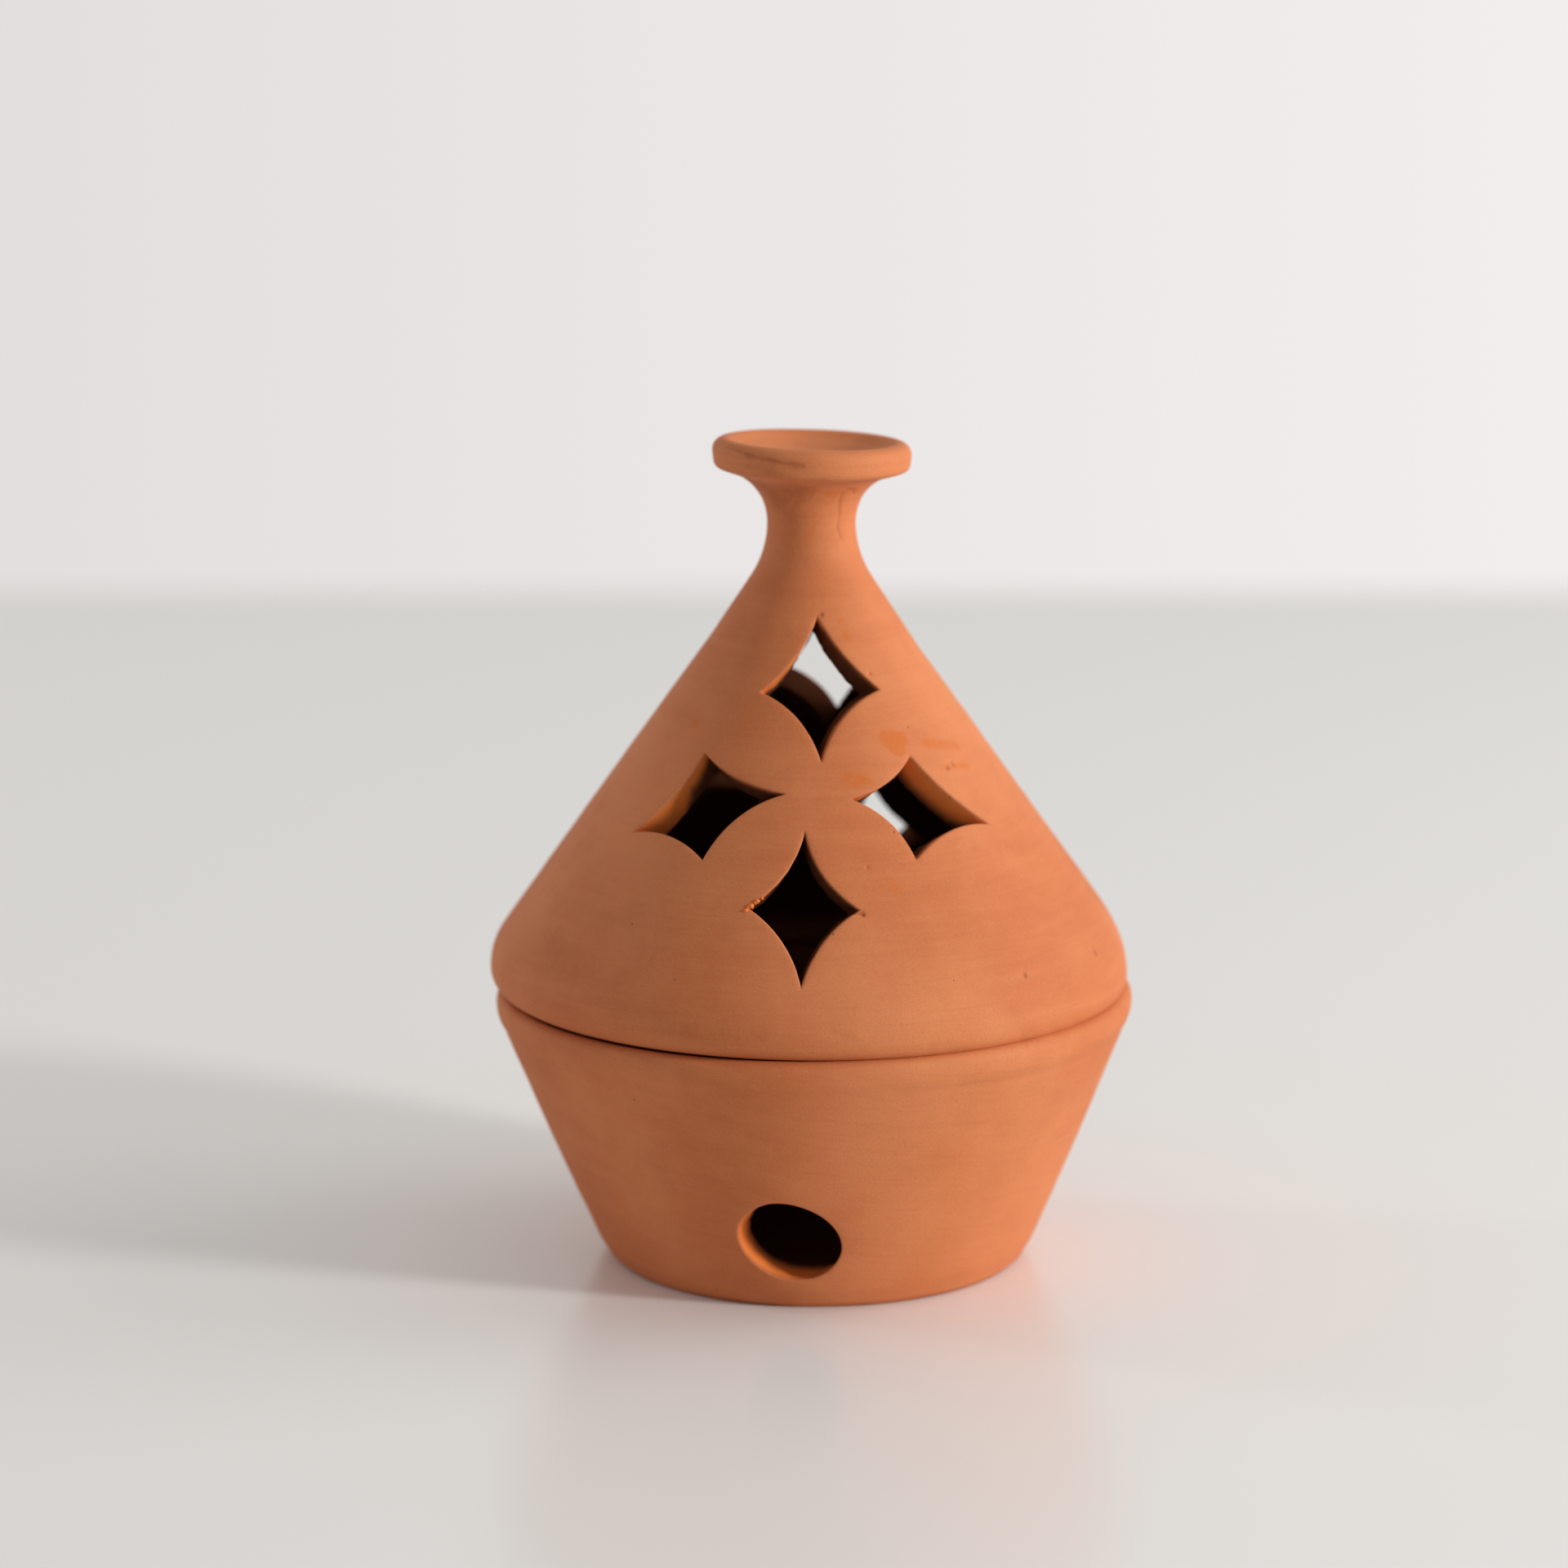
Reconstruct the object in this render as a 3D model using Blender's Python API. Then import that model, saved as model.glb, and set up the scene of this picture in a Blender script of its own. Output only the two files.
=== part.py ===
"""Tagine-shaped terracotta incense burner: a flared base bowl with a draught hole, and a pierced conical lid.

Dimensions are in millimetres and the model is in metres. +Z is up, the origin is the centre of the bowl's flat
underside, and the lid's best face looks along -Y. The lid stands loose on the bowl's rim. A flange under the lid
drops inside the rim and keeps the two roughly centred.
"""

import math

import bmesh
import bpy
from mathutils import Vector

MM = 0.001
SEGMENTS = 60  # facets round each thrown piece
ARC_STEP = 18.0  # largest turn between two profile points, degrees
WELD = 1e-6
SHARP_ANGLE = 30.0  # degrees

CLAY_COLOUR = (0.55, 0.22, 0.10, 1.0)
CLAY_ROUGHNESS = 0.85

# Base bowl, mm and degrees
BASE_RADIUS = 33.4
BASE_EDGE = 0.8  # radius of the edge the bowl stands on
WALL_FOOT = (34.9, 3.0)  # (radius, height) where the trimmed foot gives way to the flared wall
WALL_LOW = (38.1, 10.0)
WALL_MIDDLE = (42.3, 20.0)
WALL_HIGH = (46.4, 30.0)
RIM_ROOT = (49.6, 37.6)  # where the wall ends and the rim begins
RIM_RADIUS = 50.3
RIM_ROUND = 2.0  # radius of the rounded rim
RIM_HEIGHT = 42.9
RIM_INNER_TURN = 150.0  # how far round the rim's arc goes before it meets the inner wall
INNER_TOP = (44.8, 39.0)  # (radius, height) of the top of the straight inner wall
INNER_SLOPE = 22.3  # inner wall's slope from the vertical
FLOOR_HEIGHT = 4.5
FLOOR_FILLET = 7.0

# Draught hole, cut low in the front of the bowl, mm and degrees
VENT_CENTRE = (-4.4, 11.7)  # (x, z) on the front of the wall
VENT_HALF_WIDTH = 8.2
VENT_HALF_HEIGHT = 7.0
VENT_SKEW = 24.0  # the knife pointed this far to the right of straight back
VENT_RISE = 4.0  # and this far upwards
VENT_REACH = (-52.0, -22.0)  # the cutter's ends along Y
VENT_POINTS = 28

# Conical lid, mm and degrees
LID_SHIFT = -0.9  # the lid stands this far off the bowl's axis, within the play of its seat
FLANGE_HEIGHT = 39.8  # lower end of the flange
FLANGE_INNER = 40.2
FLANGE_OUTER = 43.4
FLANGE_EDGE = 0.6
SEAT_RADIUS = 45.0  # inner edge of the face that stands on the rim
SEAT_HEIGHT = 43.15
BELLY_RADIUS = 50.3
BELLY_HEIGHT = 46.65
SHOULDER_ROUND = 10.0
INNER_SHOULDER = (40.5, 48.0)  # (radius, height) of the centre of the shoulder's inner arc
INNER_SHOULDER_ROUND = 4.0
CONE_ANGLE = 35.4  # wall's slope from the vertical
CONE_TOP_HEIGHT = 98.0
NECK_RADIUS = 6.85
NECK_HEIGHT = 117.0
NECK_LOWER_ROUND = 15.5
NECK_UPPER_ROUND = 8.5
NECK_UPPER_TURN = 76.0  # how far the upper arc turns out under the knob
KNOB_RADIUS = 15.4
KNOB_EDGE_LOW = 126.8
KNOB_EDGE_HIGH = 128.7
KNOB_CREST_RADIUS = 13.2
KNOB_HEIGHT = 130.0
DISH_RADIUS = 11.4
DISH_RIM_HEIGHT = 129.2
DISH_HEIGHT = 126.6
LID_WALL = 5.0
HOLLOW_TIP_ROUND = 3.5

# Star-shaped openings, hand-cut through the cone: the four tips of each star, in mm on the unrolled cone,
# sideways and upwards from the middle of their group, in the order up, right, down, left.
STARS = (
    ((0.9, 30.0), (11.0, 19.0), (1.6, 5.7), (-7.9, 18.0)),
    ((-17.2, 9.4), (-4.0, 0.5), (-16.9, -9.0), (-30.1, -0.9)),
    ((16.0, 8.5), (30.5, 0.8), (16.5, -9.1), (6.3, -0.2)),
    ((-0.9, -6.0), (8.3, -18.7), (-1.4, -31.1), (-9.5, -17.9)),
)
# The middles of the front and the back group: degrees from -Y towards +X, and down the slope from the cone's apex.
STAR_GROUPS = ((0.0, 51.0), (166.3, 54.0))
STAR_SIDE_BOW = 0.09  # how far each side bows into the opening, as a share of its length
STAR_SIDE_POINTS = 5
STAR_CUT = (-3.0, 9.0)  # the cutter's depth, from outside the wall to inside it


def arc(centre, radius, start, end):
    """Points (radius, height) on an arc in the profile plane, angles in degrees from the outward direction."""
    steps = max(1, math.ceil(abs(end - start) / ARC_STEP))
    turns = [math.radians(start + (end - start) * i / steps) for i in range(steps + 1)]
    return [(centre[0] + radius * math.cos(t), centre[1] + radius * math.sin(t)) for t in turns]


def bowl_profile():
    """The bowl's section, from the axis under the floor, up the outside, and back over the floor to the axis."""
    slope = math.radians(INNER_SLOPE)
    fillet_height = FLOOR_HEIGHT + FLOOR_FILLET
    wall_end_height = fillet_height - FLOOR_FILLET * math.sin(slope)
    wall_end_radius = INNER_TOP[0] - (INNER_TOP[1] - wall_end_height) * math.tan(slope)
    floor_radius = wall_end_radius - FLOOR_FILLET * math.cos(slope)
    return [
        (0.0, 0.0),
        *arc((BASE_RADIUS - BASE_EDGE, BASE_EDGE), BASE_EDGE, -90, 0),
        WALL_FOOT,
        WALL_LOW,
        WALL_MIDDLE,
        WALL_HIGH,
        RIM_ROOT,
        *arc((RIM_RADIUS - RIM_ROUND, RIM_HEIGHT - RIM_ROUND), RIM_ROUND, 0, RIM_INNER_TURN),
        INNER_TOP,
        *arc((floor_radius, fillet_height), FLOOR_FILLET, -INNER_SLOPE, -90),
        (0.0, FLOOR_HEIGHT),
    ]


def cone_radius(height):
    """Outside radius of the lid's straight wall, tangent to the shoulder's outer arc."""
    slope = math.radians(CONE_ANGLE)
    start_radius = BELLY_RADIUS - SHOULDER_ROUND * (1 - math.cos(slope))
    start_height = BELLY_HEIGHT + SHOULDER_ROUND * math.sin(slope)
    return start_radius - (height - start_height) * math.tan(slope)


def lid_outside():
    """The lid's outer side, from the lower end of its flange to the middle of the knob's dish."""
    under_round = BELLY_HEIGHT - SEAT_HEIGHT
    return [
        (FLANGE_OUTER - FLANGE_EDGE, FLANGE_HEIGHT),
        (FLANGE_OUTER, FLANGE_HEIGHT + FLANGE_EDGE),
        (SEAT_RADIUS, SEAT_HEIGHT),
        *arc((BELLY_RADIUS - under_round, BELLY_HEIGHT), under_round, -90, 0),
        *arc((BELLY_RADIUS - SHOULDER_ROUND, BELLY_HEIGHT), SHOULDER_ROUND, 0, CONE_ANGLE)[1:],
        (cone_radius(CONE_TOP_HEIGHT), CONE_TOP_HEIGHT),
        *arc((NECK_RADIUS + NECK_LOWER_ROUND, NECK_HEIGHT), NECK_LOWER_ROUND, 180 + CONE_ANGLE, 180),
        *arc((NECK_RADIUS + NECK_UPPER_ROUND, NECK_HEIGHT), NECK_UPPER_ROUND, 180, 180 - NECK_UPPER_TURN)[1:],
        (KNOB_RADIUS - 0.7, KNOB_EDGE_LOW - 0.9),
        (KNOB_RADIUS, KNOB_EDGE_LOW),
        (KNOB_RADIUS, KNOB_EDGE_HIGH),
        (KNOB_RADIUS - 0.8, KNOB_HEIGHT - 0.4),
        (KNOB_CREST_RADIUS, KNOB_HEIGHT),
        (DISH_RADIUS, DISH_RIM_HEIGHT),
        (DISH_RADIUS * 0.5, DISH_HEIGHT + 0.6),
        (0.0, DISH_HEIGHT),
    ]


def lid_inside():
    """The lid's inner side, from the tip of the hollow down to the inner edge of the flange."""
    slope = math.radians(CONE_ANGLE)
    inner_radius = cone_radius(0) - LID_WALL / math.cos(slope)
    tip_height = (inner_radius - HOLLOW_TIP_ROUND / math.cos(slope)) / math.tan(slope)
    return [
        *arc((0.0, tip_height), HOLLOW_TIP_ROUND, 90, CONE_ANGLE),
        *arc(INNER_SHOULDER, INNER_SHOULDER_ROUND, CONE_ANGLE, -50),
        (FLANGE_INNER + 0.7, SEAT_HEIGHT),
        (FLANGE_INNER, FLANGE_HEIGHT + FLANGE_EDGE),
        (FLANGE_INNER + FLANGE_EDGE, FLANGE_HEIGHT),
    ]


def clay(name):
    """Unglazed terracotta."""
    material = bpy.data.materials.new(name)
    material.use_nodes = True
    shader = material.node_tree.nodes["Principled BSDF"]
    shader.inputs["Base Color"].default_value = CLAY_COLOUR
    shader.inputs["Roughness"].default_value = CLAY_ROUGHNESS
    shader.inputs["Metallic"].default_value = 0.0
    return material


def add_object(name, form):
    """A new object in the scene from a bmesh whose units are millimetres."""
    bmesh.ops.scale(form, verts=form.verts, vec=(MM, MM, MM))
    bmesh.ops.recalc_face_normals(form, faces=form.faces)
    mesh = bpy.data.meshes.new(name)
    form.to_mesh(mesh)
    form.free()
    added = bpy.data.objects.new(name, mesh)
    bpy.context.scene.collection.objects.link(added)
    return added


def thrown(profile):
    """A bmesh turned on the Z axis from a profile that starts and ends on that axis."""
    form = bmesh.new()
    ring = [form.verts.new((radius, 0.0, height)) for radius, height in profile]
    edges = [form.edges.new(pair) for pair in zip(ring, ring[1:])]
    bmesh.ops.spin(
        form, geom=ring + edges, cent=(0, 0, 0), axis=(0, 0, 1), angle=math.tau, steps=SEGMENTS, use_merge=True
    )
    bmesh.ops.remove_doubles(form, verts=form.verts, dist=WELD)
    return form


def add_loft(form, near, far):
    """Adds a closed body between two outlines with the same number of points."""
    first = [form.verts.new(point) for point in near]
    last = [form.verts.new(point) for point in far]
    form.faces.new(first)
    form.faces.new(reversed(last))
    for i, corner in enumerate(first):
        after = (i + 1) % len(first)
        form.faces.new((first[after], corner, last[i], last[after]))


def bowed_side(tip, next_tip):
    """Points on one side of a star, which is a shallow arc bowed into the opening. The next tip is left out."""
    start, end = Vector(tip), Vector(next_tip)
    along = end - start
    inward = Vector((along.y, -along.x)) * STAR_SIDE_BOW
    shares = [i / STAR_SIDE_POINTS for i in range(STAR_SIDE_POINTS)]
    return [start + along * t + inward * 4 * t * (1 - t) for t in shares]


def on_cone(point, group, depth):
    """A group's point on the unrolled cone, put on the lid at this depth below the wall's outer face."""
    group_azimuth, group_slant = group
    slope = math.radians(CONE_ANGLE)
    across, down = point[0], group_slant - point[1]
    azimuth = math.radians(group_azimuth) + math.atan2(across, down) / math.sin(slope)
    slant = math.hypot(across, down)
    apex_height = cone_radius(0) / math.tan(slope)
    radius = slant * math.sin(slope) - depth * math.cos(slope)
    height = apex_height - slant * math.cos(slope) - depth * math.sin(slope)
    return Vector((radius * math.sin(azimuth), -radius * math.cos(azimuth), height))


def as_cutter(cutter):
    cutter.hide_render = True
    cutter.display_type = "WIRE"
    return cutter


def star_cutters():
    """All the star-shaped openings, as one helper object of separate closed prisms."""
    form = bmesh.new()
    for group in STAR_GROUPS:
        for tips in STARS:
            outline = []
            for tip, next_tip in zip(tips, tips[1:] + tips[:1]):
                outline += bowed_side(tip, next_tip)
            outside, inside = [[on_cone(point, group, depth) for point in outline] for depth in STAR_CUT]
            add_loft(form, outside, inside)
    return as_cutter(add_object("star_cutters", form))


def vent_outline(y):
    """The draught hole's oval section at this depth, moved to the right and upwards as the knife goes in."""
    depth = y + WALL_LOW[0]
    middle_x = VENT_CENTRE[0] + depth * math.tan(math.radians(VENT_SKEW))
    middle_z = VENT_CENTRE[1] + depth * math.tan(math.radians(VENT_RISE))
    turns = [math.tau * i / VENT_POINTS for i in range(VENT_POINTS)]
    return [
        (middle_x + VENT_HALF_WIDTH * math.cos(t), y, middle_z + VENT_HALF_HEIGHT * math.sin(t)) for t in turns
    ]


def vent_cutter():
    """An oval prism through the front of the bowl."""
    outside, inside = [vent_outline(y) for y in VENT_REACH]
    form = bmesh.new()
    add_loft(form, outside, inside)
    return as_cutter(add_object("vent_cutter", form))


def cut(piece, cutter):
    boolean = piece.modifiers.new("cut", "BOOLEAN")
    boolean.operation = "DIFFERENCE"
    boolean.solver = "EXACT"
    boolean.object = cutter


def finish(piece):
    piece.data.materials.append(clay(piece.name + "_clay"))
    piece.data.shade_smooth()
    piece.data.set_sharp_from_angle(angle=math.radians(SHARP_ANGLE))


def make_bowl():
    bowl = add_object("base_bowl", thrown(bowl_profile()))
    finish(bowl)
    cut(bowl, vent_cutter())


def make_lid():
    """The lid's origin is on its own axis, along which it lifts."""
    lid = add_object("conical_lid", thrown(lid_inside() + lid_outside()))
    finish(lid)
    cutters = star_cutters()
    cutters.parent = lid
    cut(lid, cutters)
    lid.location.x = LID_SHIFT * MM


for old in list(bpy.data.objects):
    bpy.data.objects.remove(old)
make_bowl()
make_lid()
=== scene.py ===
"""The looks of a small terracotta incense burner: a thrown bowl and a pierced conical lid on a pale table.

Lengths are millimetres until make_piece() turns them into metres. A section is a curve of (radius, height)
points that is swept round a piece's axis, and a place on it is an arc length. Azimuth runs round the axis
from the front (-Y) towards +X. Each section starts in the middle of the piece's top, which is the knob's
dish or the bowl's floor. It runs out over the rim and back to the axis on the other side of the clay.
"""
import math

import bmesh
import bpy
import numpy as np
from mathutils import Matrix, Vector, noise
from mathutils.geometry import delaunay_2d_cdt


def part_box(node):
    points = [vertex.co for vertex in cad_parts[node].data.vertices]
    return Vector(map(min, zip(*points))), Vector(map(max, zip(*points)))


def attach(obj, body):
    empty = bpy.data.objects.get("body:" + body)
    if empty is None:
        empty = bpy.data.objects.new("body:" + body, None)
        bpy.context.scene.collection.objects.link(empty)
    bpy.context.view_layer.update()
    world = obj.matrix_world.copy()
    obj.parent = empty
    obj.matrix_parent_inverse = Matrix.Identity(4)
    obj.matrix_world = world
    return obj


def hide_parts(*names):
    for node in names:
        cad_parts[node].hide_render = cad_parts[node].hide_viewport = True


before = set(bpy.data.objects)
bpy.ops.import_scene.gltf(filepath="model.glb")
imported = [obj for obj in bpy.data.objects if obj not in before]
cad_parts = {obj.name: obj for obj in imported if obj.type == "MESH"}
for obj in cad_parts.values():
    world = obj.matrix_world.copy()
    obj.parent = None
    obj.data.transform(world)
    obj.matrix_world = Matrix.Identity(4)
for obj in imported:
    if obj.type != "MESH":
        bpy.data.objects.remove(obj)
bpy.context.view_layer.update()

MM = 0.001
BOWL_LOW, BOWL_HIGH = [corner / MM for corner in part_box("base_bowl")]
LID_LOW, LID_HIGH = [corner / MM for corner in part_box("conical_lid")]

# ------------ sizes of the bowl, mm and degrees
SOFTENING_LOSS = 0.2  # what softening takes off a tight outward curve
RIM_RADIUS = (BOWL_HIGH.x - BOWL_LOW.x) / 2 + SOFTENING_LOSS
RIM_HEIGHT = BOWL_HIGH.z
RIM_ROUND = 1.7
BASE_RADIUS = 33.4
BASE_EDGE = 0.9
BOWL_WALL = (
    (34.9, 3.0), (36.3, 6.0), (38.1, 10.0), (42.35, 20.0), (46.4, 30.0), (48.05, 33.9), (49.15, 36.6),
)
LIP = ((49.35, 37.4), (50.1, 38.6), (50.45, 39.8))  # the small roll under the rim's edge
INNER_TOP = (44.8, 39.0)
INNER_SLOPE = 22.3
FLOOR_HEIGHT = 4.5
FLOOR_FILLET = 7.0
BOWL_LEAN = -0.4  # how far the rim has moved sideways
FOOT_STRETCH = 0.75  # how much taller the foot is than the CAD's, which raises all above it
FOOT_HEIGHT = 8.0
RIM_RISE = 0.4  # how much higher the rim is at +X than at the axis

# ------------ sizes of the lid
LID_AXIS = (LID_LOW.x + LID_HIGH.x) / 2
BELLY_RADIUS = (LID_HIGH.x - LID_LOW.x) / 2 + SOFTENING_LOSS
BELLY_HEIGHT = 46.65
SHOULDER_ROUND = 10.0
SEAT_HEIGHT = 43.2
SEAT_RADIUS = 45.0
FLANGE_HEIGHT = LID_LOW.z
FLANGE_OUTER = 43.4
FLANGE_INNER = 40.2
CONE_ANGLE = math.radians(35.4)
CONE_TOP_HEIGHT = 98.0
KNOWN_SLANT = 51.0  # a distance down the slope from the apex that is surely on the straight part
LID_WALL = 5.0
INNER_SHOULDER = (40.5, 48.0)
INNER_SHOULDER_ROUND = 4.0
HOLLOW_TIP_ROUND = 3.5
NECK_RADIUS = 6.85
NECK_HEIGHT = 117.0
NECK_LOWER_ROUND = 15.5
NECK_UPPER_ROUND = 8.5
NECK_UPPER_TURN = 66.0
KNOB_DISH = ((0.0, 126.8), (5.0, 127.15), (8.4, 128.0), (11.2, 129.15))
KNOB_TOP = (13.6, 128.4)  # centre of the knob's rounded top edge
KNOB_TOP_ROUND = 1.95
KNOB_FOOT = (14.35, 126.65)  # centre of the tighter lower edge
KNOB_FOOT_ROUND = 0.95
KNOB_SAG = 0.5  # the knob's rim droops by up to twice this on one side
KNOB_SAG_AZIMUTH = math.radians(115)
KNOB_SAG_HEIGHTS = (121.0, 127.0)  # where the droop starts and where it is full
LID_LEAN = (-0.3, 0.1)  # how far the belly and the knob have moved sideways
HEEL_DROP = 1.9  # how much lower the belly's under-edge is at +X than at -X
HEEL_BAND = (SEAT_RADIUS + 1.0, SEAT_RADIUS + 3.5)  # the radii at which the lowering starts and is full
HEEL_TOP = 56.0  # nothing above this is lowered
TILT_HEIGHTS = (50.0, 75.0)  # between these the tilt of the lid's seat dies out

# ------------ openings
EDGE_ROUND = 0.32  # the rounding of a cut edge
OUTLINE_STEP = 0.42
# For each group: the azimuth of its middle, how far that is down the slope from the apex, and how far the
# knife drifted sideways and upwards on its way through each star.
STAR_GROUPS = (
    (0.0, 51.0, ((-1.15, 1.35), (-0.6, 0.0), (-1.3, 0.1), (-0.9, 1.45))),
    (math.radians(166.3), 54.0, ((1.3, 0.5), (0.3, 0.4), (-0.5, 0.4), (-2.4, 0.7))),
)
# The share of the wall's thickness left clear of painted shade, for equal parts of an outline, clockwise
# from a star's top tip: for each front star, for every back star and for the vent. Below zero, the painted
# shade reaches the face.
UNSHADED_FRONT = (
    (-0.15, 0.0, 0.0, 0.35),
    (-0.1, -0.1, -0.1, -0.1, 0.0, 0.0, 1.2, 0.3),
    (0.55, 0.1, 0.0, 0.3),
    (-0.15, -0.15, 0.0, 0.0),
)
UNSHADED_BACK = (-0.3,)
UNSHADED_VENT = (0.55,)
UNSHADED_BLUR = 6  # how many outline points the change between two parts takes, on each side
SHADE_FADE = 0.35  # the share of the wall's thickness over which the painted shade fades in
KNIFE_DRAG = 0.13  # the depth of the lines that the knife left along a cut
RAGGED_EDGE = 0.22  # how far the edge strays where the knife came out
# Tips up, right, down and left, sideways and upwards from the group's middle on the unrolled cone, and how
# far the side after each tip bows into the opening, as a share of its length.
STARS = (
    (((0.9, 30.0), (11.0, 19.0), (1.6, 5.7), (-7.9, 18.0)), (0.07, 0.10, 0.10, 0.09)),
    (((-17.2, 9.4), (-4.0, 0.5), (-16.9, -9.0), (-30.1, -0.9)), (0.09, 0.11, 0.09, 0.08)),
    (((16.0, 8.5), (30.5, 0.8), (16.5, -9.1), (6.3, -0.2)), (0.07, 0.09, 0.11, 0.10)),
    (((-0.9, -6.0), (7.3, -18.5), (-1.4, -31.1), (-9.5, -17.9)), (0.11, 0.09, 0.09, 0.11)),
)
VENT_CENTRE = (-4.4, 11.7)
VENT_HALF_WIDTH = 8.2
VENT_HALF_HEIGHT = 7.0
VENT_SKEW = math.radians(24)
VENT_RISE = math.radians(4)
VENT_DEPTH_ZERO = -38.1  # the Y at which the knife passes through VENT_CENTRE
VENT_WALL = 6.0  # the length of the cut through the wall
VENT_FLAT = 0.05  # how much the outline is flattened, as a share, round VENT_FLAT_AT
VENT_FLAT_AT = 135
VENT_FLAT_HALF = 28

# ------------ mesh density
SEAM = math.radians(-95)  # where each swept surface starts and ends
MIDDLE = SEAM + math.pi
COLUMNS = 288
NECK_COLUMNS = 144
OUTER_STEP = 0.72
INNER_STEP = 1.15
NECK_STEP = 0.42
FINE_STEP = 0.16  # round pores and nicks
EDGE_STEP = 0.45
FLOOR_STEP = 1.6
BOWL_STEP = 0.9
FOOT_STEP = 1.5
SIDE_MARGIN = 0.6  # how far loose points stay from a sheet's border, as a share of the step
HOLE_MARGIN = 0.55  # and from a hole
OUTER_SLANTS = (17.5, 88.5)  # the stretch of the cone's outer face that is a sheet with the stars in it
INNER_SLANTS = (88.5, 14.0)  # and of its inner face, from its foot up
VENT_SHEET_START = 16.0  # a place on the bowl's floor
VENT_SHEET_TOP = 24.0  # the height up to which the bowl's two sheets reach
VENT_SHEET_RADII = (30.0, 38.0)  # of the cylinders on which the inner and outer sheets are laid out

# ------------ relief
LID_SEED, BOWL_SEED, STAR_SEED, VENT_SEED, CRUMB_SEED = 3, 11, 40, 70, 90
FINE_RINGS = 0.022  # heights of the two kinds of throwing marks
BROAD_RINGS = 0.035
DENT_HEIGHT = 0.035
DENT_SIZE = 7.0
WOBBLE_HEIGHT = 0.12
WOBBLE_SIZE = 26.0
SEAT_RELIEF = 0.1  # how much of the relief is left on the seat
SEAT_FADE = 6.0  # how far from the seat the relief is full
AXIS_FADE = 3.0  # how far from the axis the relief is full


# ============ sections
def arc(centre, radius, start, end):
    """Points on an arc in the section's plane, angles in degrees from the outward direction."""
    turns = np.radians(np.linspace(start, end, max(2, int(abs(end - start) / 2) + 1)))
    return [(centre[0] + radius * math.cos(t), centre[1] + radius * math.sin(t)) for t in turns]


class Section:
    """A softened curve of (radius, height) points with its normals, read by arc length."""

    STEP = 0.1

    def __init__(self, corners, softness):
        corners = np.array(corners)
        run = np.concatenate([[0], np.cumsum(np.linalg.norm(np.diff(corners, axis=0), axis=1))])
        count = int(run[-1] / self.STEP)
        places = np.linspace(0, run[-1], count + 1)
        dense = np.stack([np.interp(places, run, corners[:, i]) for i in (0, 1)], 1)
        self.points = self.soften(dense, softness)
        steps = np.linalg.norm(np.diff(self.points, axis=0), axis=1)
        self.places = np.concatenate([[0], np.cumsum(steps)])
        tangents = np.gradient(self.points, axis=0)
        tangents /= np.linalg.norm(tangents, axis=1)[:, None]
        self.normals = np.stack([-tangents[:, 1], tangents[:, 0]], 1)
        self.length = self.places[-1]

    def soften(self, points, softness):
        """Blurs the curve, as a wet hand does. The axis is a mirror, so both ends stay on it."""
        reach = int(4 * softness / self.STEP)
        weights = np.exp(-0.5 * (np.arange(-reach, reach + 1) * self.STEP / softness) ** 2)
        weights /= weights.sum()
        mirror = np.array([-1.0, 1.0])
        padded = np.concatenate([points[reach:0:-1] * mirror, points, points[-2:-reach - 2:-1] * mirror])
        return np.stack([np.convolve(padded[:, i], weights, "valid") for i in (0, 1)], 1)

    def at(self, place):
        return [np.interp(place, self.places, self.points[:, i]) for i in (0, 1)]

    def normal(self, place):
        return [np.interp(place, self.places, self.normals[:, i]) for i in (0, 1)]

    def place_near(self, radius, height):
        return self.places[np.argmin(np.hypot(self.points[:, 0] - radius, self.points[:, 1] - height))]

    def place_at_height(self, height, low, high):
        """The place at this height, on the stretch from low to high, along which it only rises or falls."""
        stretch = (self.places >= low) & (self.places <= high)
        heights, places = self.points[stretch, 1], self.places[stretch]
        order = np.argsort(heights)
        return np.interp(height, heights[order], places[order])


def cone_radius(height):
    start_radius = BELLY_RADIUS - SHOULDER_ROUND * (1 - math.cos(CONE_ANGLE))
    start_height = BELLY_HEIGHT + SHOULDER_ROUND * math.sin(CONE_ANGLE)
    return start_radius - (height - start_height) * math.tan(CONE_ANGLE)


APEX_HEIGHT = cone_radius(0) / math.tan(CONE_ANGLE)


def cone_point(slant, depth):
    """(radius, height) at this distance down the slope from the apex and this deep below the outer face."""
    return (
        slant * math.sin(CONE_ANGLE) - depth * math.cos(CONE_ANGLE),
        APEX_HEIGHT - slant * math.cos(CONE_ANGLE) - depth * math.sin(CONE_ANGLE),
    )


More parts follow.
